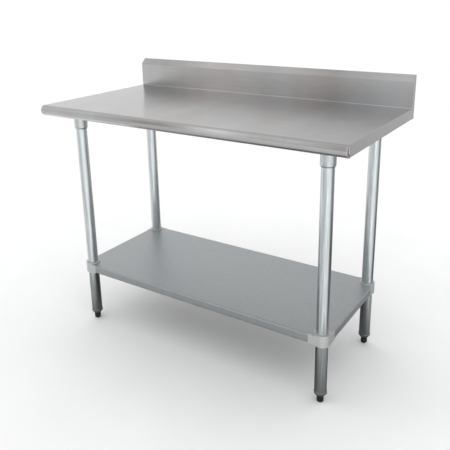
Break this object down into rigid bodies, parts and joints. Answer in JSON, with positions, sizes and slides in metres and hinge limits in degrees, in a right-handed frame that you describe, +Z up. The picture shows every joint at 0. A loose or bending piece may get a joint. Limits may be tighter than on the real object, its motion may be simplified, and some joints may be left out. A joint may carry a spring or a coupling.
{
  "type": "stainless work table",
  "caption": "Work table with a rolled front edge, a low backsplash with a sloped top, round legs on screw-in feet, and an undershelf that slides on the legs.",
  "frame": {"origin": "on the floor, under the middle of the table's length and depth", "axes": "+X along the length to the right as seen from the front, +Y towards the wall, +Z up"},
  "size_m": [1.2192, 0.6096, 1.0304],
  "materials": {
    "stainless_top": "satin brushed stainless sheet",
    "galvanised_channel": "matte galvanised sheet",
    "galvanised_sheet": "satin galvanised sheet",
    "galvanised_tube": "bright galvanised tube",
    "galvanised_socket": "bright zinc",
    "cast_aluminium": "matte die cast",
    "grey_insert": "moulded grey",
    "dark_foot": "moulded near black",
    "zinc_hardware": "bright zinc",
    "black_screw": "black oxide"
  },
  "bodies": {
    "frame": {"work_top": "stainless_top", "splash_end_left": "stainless_top", "splash_end_right": "stainless_top", "roll_end_left": "stainless_top", "roll_end_right": "stainless_top", "cross_channel_left": "galvanised_channel", "cross_channel_right": "galvanised_channel", "lengthwise_channel": "galvanised_channel", "weld_studs": "zinc_hardware", "stud_nuts": "zinc_hardware", "socket_set_screws": "black_screw", "leg_front_left": "galvanised_tube", "leg_socket_front_left": "galvanised_socket", "foot_insert_front_left": "grey_insert", "leg_front_right": "galvanised_tube", "leg_socket_front_right": "galvanised_socket", "foot_insert_front_right": "grey_insert", "leg_rear_left": "galvanised_tube", "leg_socket_rear_left": "galvanised_socket", "foot_insert_rear_left": "grey_insert", "leg_rear_right": "galvanised_tube", "leg_socket_rear_right": "galvanised_socket", "foot_insert_rear_right": "grey_insert"},
    "undershelf": {"clamp_screws": "zinc_hardware", "clamp_set_screws": "black_screw", "shelf_pan": "galvanised_sheet", "shelf_channel": "galvanised_sheet", "shelf_clamp_front_left": "cast_aluminium", "shelf_clamp_front_right": "cast_aluminium", "shelf_clamp_rear_left": "cast_aluminium", "shelf_clamp_rear_right": "cast_aluminium"},
    "levelling_foot_front_left": {"foot_front_left": "dark_foot", "foot_stud_front_left": "zinc_hardware"},
    "levelling_foot_front_right": {"foot_front_right": "dark_foot", "foot_stud_front_right": "zinc_hardware"},
    "levelling_foot_rear_left": {"foot_rear_left": "dark_foot", "foot_stud_rear_left": "zinc_hardware"},
    "levelling_foot_rear_right": {"foot_rear_right": "dark_foot", "foot_stud_rear_right": "zinc_hardware"}
  },
  "joints": [
    {"name": "shelf_height", "type": "slide", "parent": "frame", "child": "undershelf", "axis": [0, 0, 1], "range_m": [-0.165, 0.55]},
    {"name": "foot_travel_front_left", "type": "slide", "parent": "frame", "child": "levelling_foot_front_left", "axis": [0, 0, -1], "range_m": [0, 0.0254]},
    {"name": "foot_travel_front_right", "type": "slide", "parent": "frame", "child": "levelling_foot_front_right", "axis": [0, 0, -1], "range_m": [0, 0.0254]},
    {"name": "foot_travel_rear_left", "type": "slide", "parent": "frame", "child": "levelling_foot_rear_left", "axis": [0, 0, -1], "range_m": [0, 0.0254]},
    {"name": "foot_travel_rear_right", "type": "slide", "parent": "frame", "child": "levelling_foot_rear_right", "axis": [0, 0, -1], "range_m": [0, 0.0254]}
  ]
}
